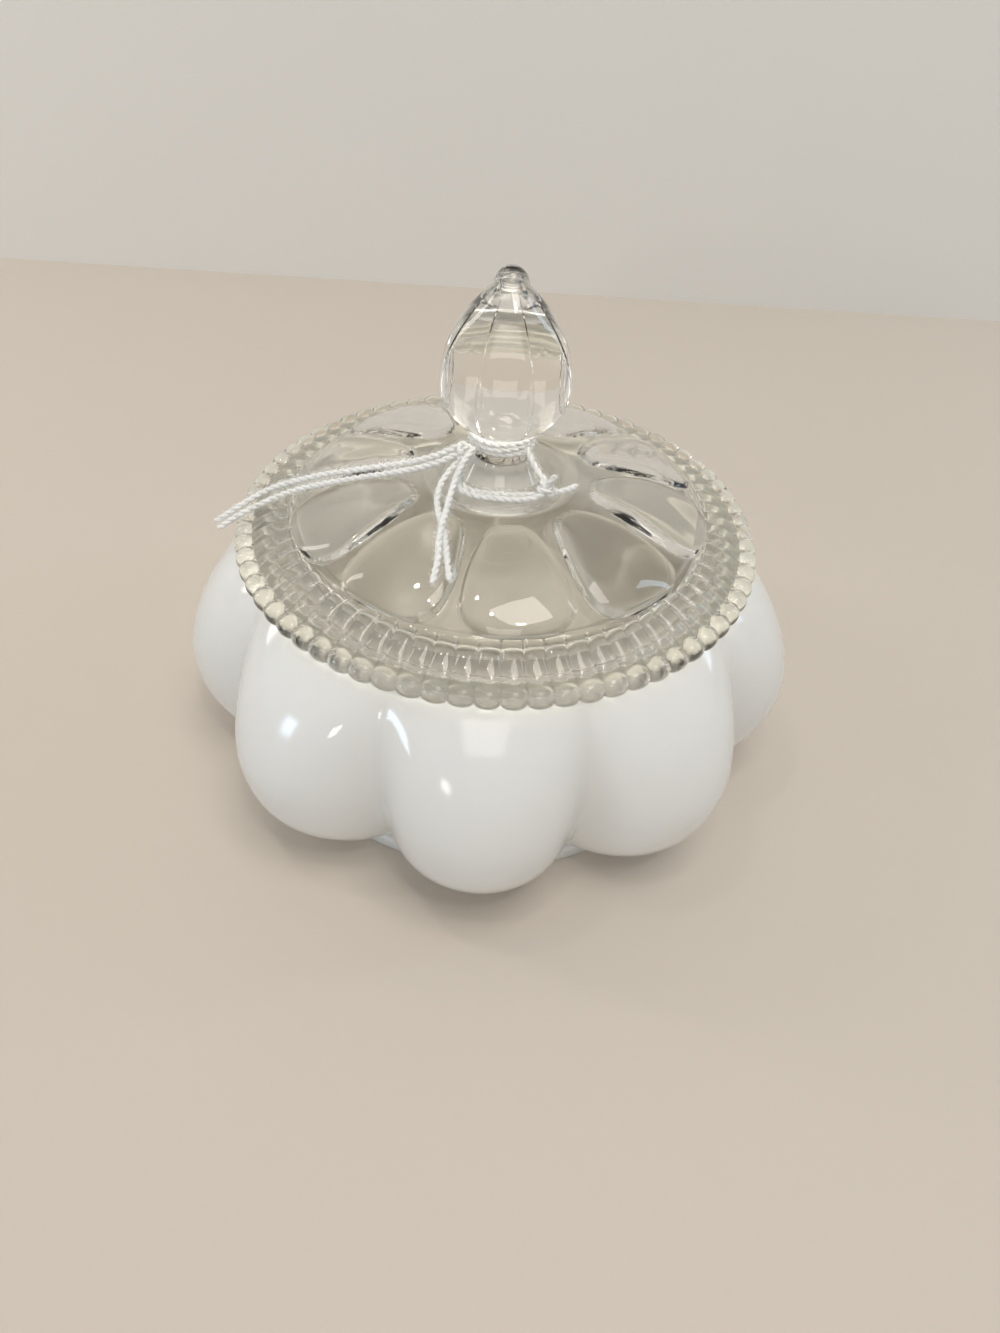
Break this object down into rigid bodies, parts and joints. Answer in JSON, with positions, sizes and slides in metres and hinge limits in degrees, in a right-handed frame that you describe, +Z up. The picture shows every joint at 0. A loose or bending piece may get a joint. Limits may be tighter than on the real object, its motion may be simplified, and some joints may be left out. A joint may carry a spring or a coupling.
{
  "type": "cream jar",
  "caption": "Round lobed opal-glass jar with a loose clear pressed-glass lid, a panelled pointed knob and a bit of cotton string tied round the knob's neck.",
  "frame": {"origin": "on the table at the centre of the bowl's foot ring, which is the middle of the jar", "axes": "+Z up through the knob's tip; one lobe of the bowl faces -Y, which is the front"},
  "size_m": [0.1226, 0.1214, 0.0989],
  "materials": {
    "opal_glass": "smooth glossy opal (milk) glass, slightly translucent, cool white",
    "clear_glass": "clear fire-polished pressed glass, faintly grey-green",
    "cotton_string": "matte two-ply white cotton string"
  },
  "bodies": {
    "jar": {"bowl": "opal_glass"},
    "lid": {"lid": "clear_glass", "string_neck_wrap": "cotton_string", "string_knot_left": "cotton_string", "string_knot_right": "cotton_string", "string_tail_upper": "cotton_string", "string_tail_lower": "cotton_string", "string_front_left": "cotton_string", "string_front_right": "cotton_string", "string_collar_inner": "cotton_string", "string_collar_outer": "cotton_string"}
  },
  "joints": [
    {"name": "lid_lift", "type": "slide", "parent": "jar", "child": "lid", "axis": [0, 0, 1], "range_m": [0, 0.08]}
  ]
}
